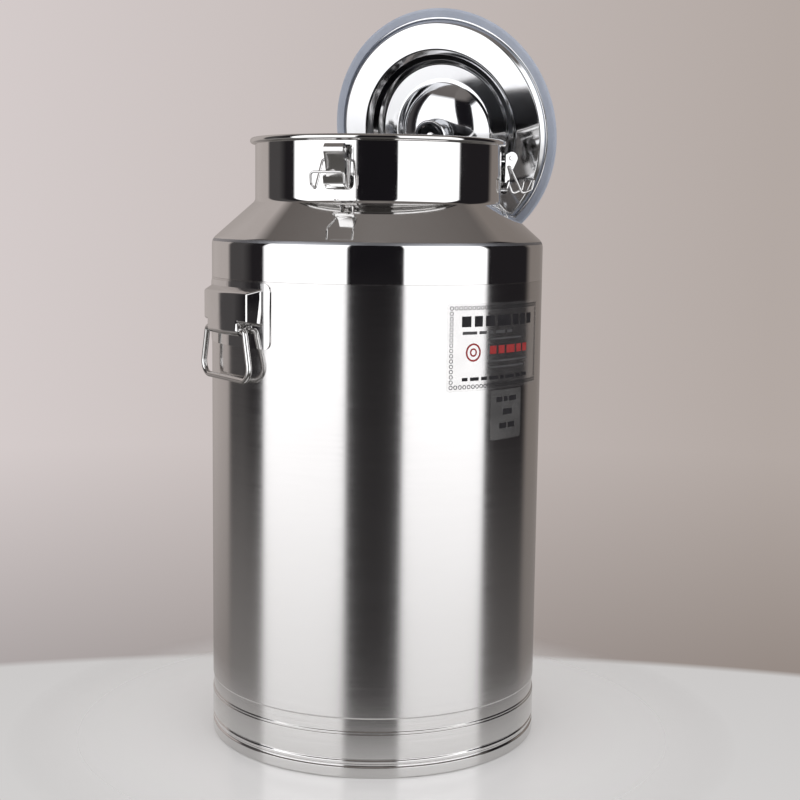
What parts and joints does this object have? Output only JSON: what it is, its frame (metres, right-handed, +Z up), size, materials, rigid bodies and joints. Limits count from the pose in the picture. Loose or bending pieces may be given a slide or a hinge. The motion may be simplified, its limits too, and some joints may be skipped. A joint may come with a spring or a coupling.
{
  "type": "milk can",
  "caption": "Upright stainless milk can with a coned shoulder, wide neck, toggle latches, swinging wire side handles and a loose domed lid with a knob and silicone seal.",
  "frame": {"origin": "the can's axis at floor level, the middle of the foot's rest plane", "axes": "+Z up along the can's axis; the side handles are on +X and -X; the side with the labels faces -Y"},
  "size_m": [0.3969, 0.3751, 0.7847],
  "materials": {
    "brushed_wall": "satin, brushed round the can",
    "polished_shoulder": "mirror-polished stainless steel",
    "foot_steel": "fine satin with a polished bead",
    "handle_steel": "polished pressed stainless steel",
    "bail_wire_steel": "polished stainless wire",
    "latch_steel": "polished spring stainless steel",
    "lid_steel": "mirror-polished pressed stainless steel",
    "silicone": "translucent silicone, satin",
    "clear_film": "clear film with plain dark print"
  },
  "bodies": {
    "can": {"foot_ring": "foot_steel", "body_wall": "brushed_wall", "bottom_pan": "foot_steel", "shoulder_neck": "polished_shoulder", "rim_wire": "polished_shoulder", "product_label": "clear_film", "capacity_sticker": "clear_film", "handle_left_plate": "handle_steel", "handle_left_cover": "handle_steel", "handle_left_knuckle": "handle_steel", "handle_right_plate": "handle_steel", "handle_right_cover": "handle_steel", "handle_right_knuckle": "handle_steel", "latch_front_base": "latch_steel", "latch_front_pin": "latch_steel", "latch_right_base": "latch_steel", "latch_right_pin": "latch_steel", "latch_rear_base": "latch_steel", "latch_rear_pin": "latch_steel"},
    "bail_left": {"handle_left_bail": "bail_wire_steel"},
    "bail_right": {"handle_right_bail": "bail_wire_steel"},
    "lever_front": {"latch_front_lever": "latch_steel"},
    "wire_front": {"latch_front_wire": "latch_steel"},
    "lever_right": {"latch_right_lever": "latch_steel"},
    "wire_right": {"latch_right_wire": "latch_steel"},
    "lever_rear": {"latch_rear_lever": "latch_steel"},
    "wire_rear": {"latch_rear_wire": "latch_steel"},
    "lid": {"lid_shell": "lid_steel", "lid_seal": "silicone", "lid_knob_washer": "lid_steel", "lid_knob": "lid_steel", "lid_knob_screw": "lid_steel", "lid_knob_nut": "lid_steel"}
  },
  "joints": [
    {"name": "bail_left_swing", "type": "hinge", "parent": "can", "child": "bail_left", "pos_m": [-0.1792, 0, 0.4393], "axis": [0, 1, 0], "range_deg": [-1.3, 90]},
    {"name": "bail_right_swing", "type": "hinge", "parent": "can", "child": "bail_right", "pos_m": [0.1792, 0, 0.4393], "axis": [0, -1, 0], "range_deg": [-1.3, 90]},
    {"name": "lever_front_turn", "type": "hinge", "parent": "can", "child": "lever_front", "pos_m": [-0.10906, -0.0948, 0.6168], "axis": [-0.6561, 0.7547, 0], "range_deg": [0, 90]},
    {"name": "wire_front_turn", "type": "hinge", "parent": "lever_front", "child": "wire_front", "pos_m": [-0.10679, -0.09283, 0.6076], "axis": [-0.6561, 0.7547, 0], "range_deg": [0, 65]},
    {"name": "lever_right_turn", "type": "hinge", "parent": "can", "child": "lever_right", "pos_m": [0.13663, -0.04704, 0.6168], "axis": [-0.3256, -0.9455, 0], "range_deg": [0, 90]},
    {"name": "wire_right_turn", "type": "hinge", "parent": "lever_right", "child": "wire_right", "pos_m": [0.13379, -0.04607, 0.6076], "axis": [-0.3256, -0.9455, 0], "range_deg": [0, 65]},
    {"name": "lever_rear_turn", "type": "hinge", "parent": "can", "child": "lever_rear", "pos_m": [-0.02757, 0.14184, 0.6168], "axis": [0.9816, 0.1908, 0], "range_deg": [0, 90]},
    {"name": "wire_rear_turn", "type": "hinge", "parent": "lever_rear", "child": "wire_rear", "pos_m": [-0.027, 0.1389, 0.6076], "axis": [0.9816, 0.1908, 0], "range_deg": [0, 65]},
    {"name": "lid_lift", "type": "slide", "parent": "can", "child": "lid", "axis": [0, 0, 1], "range_m": [0, 0.2]}
  ]
}
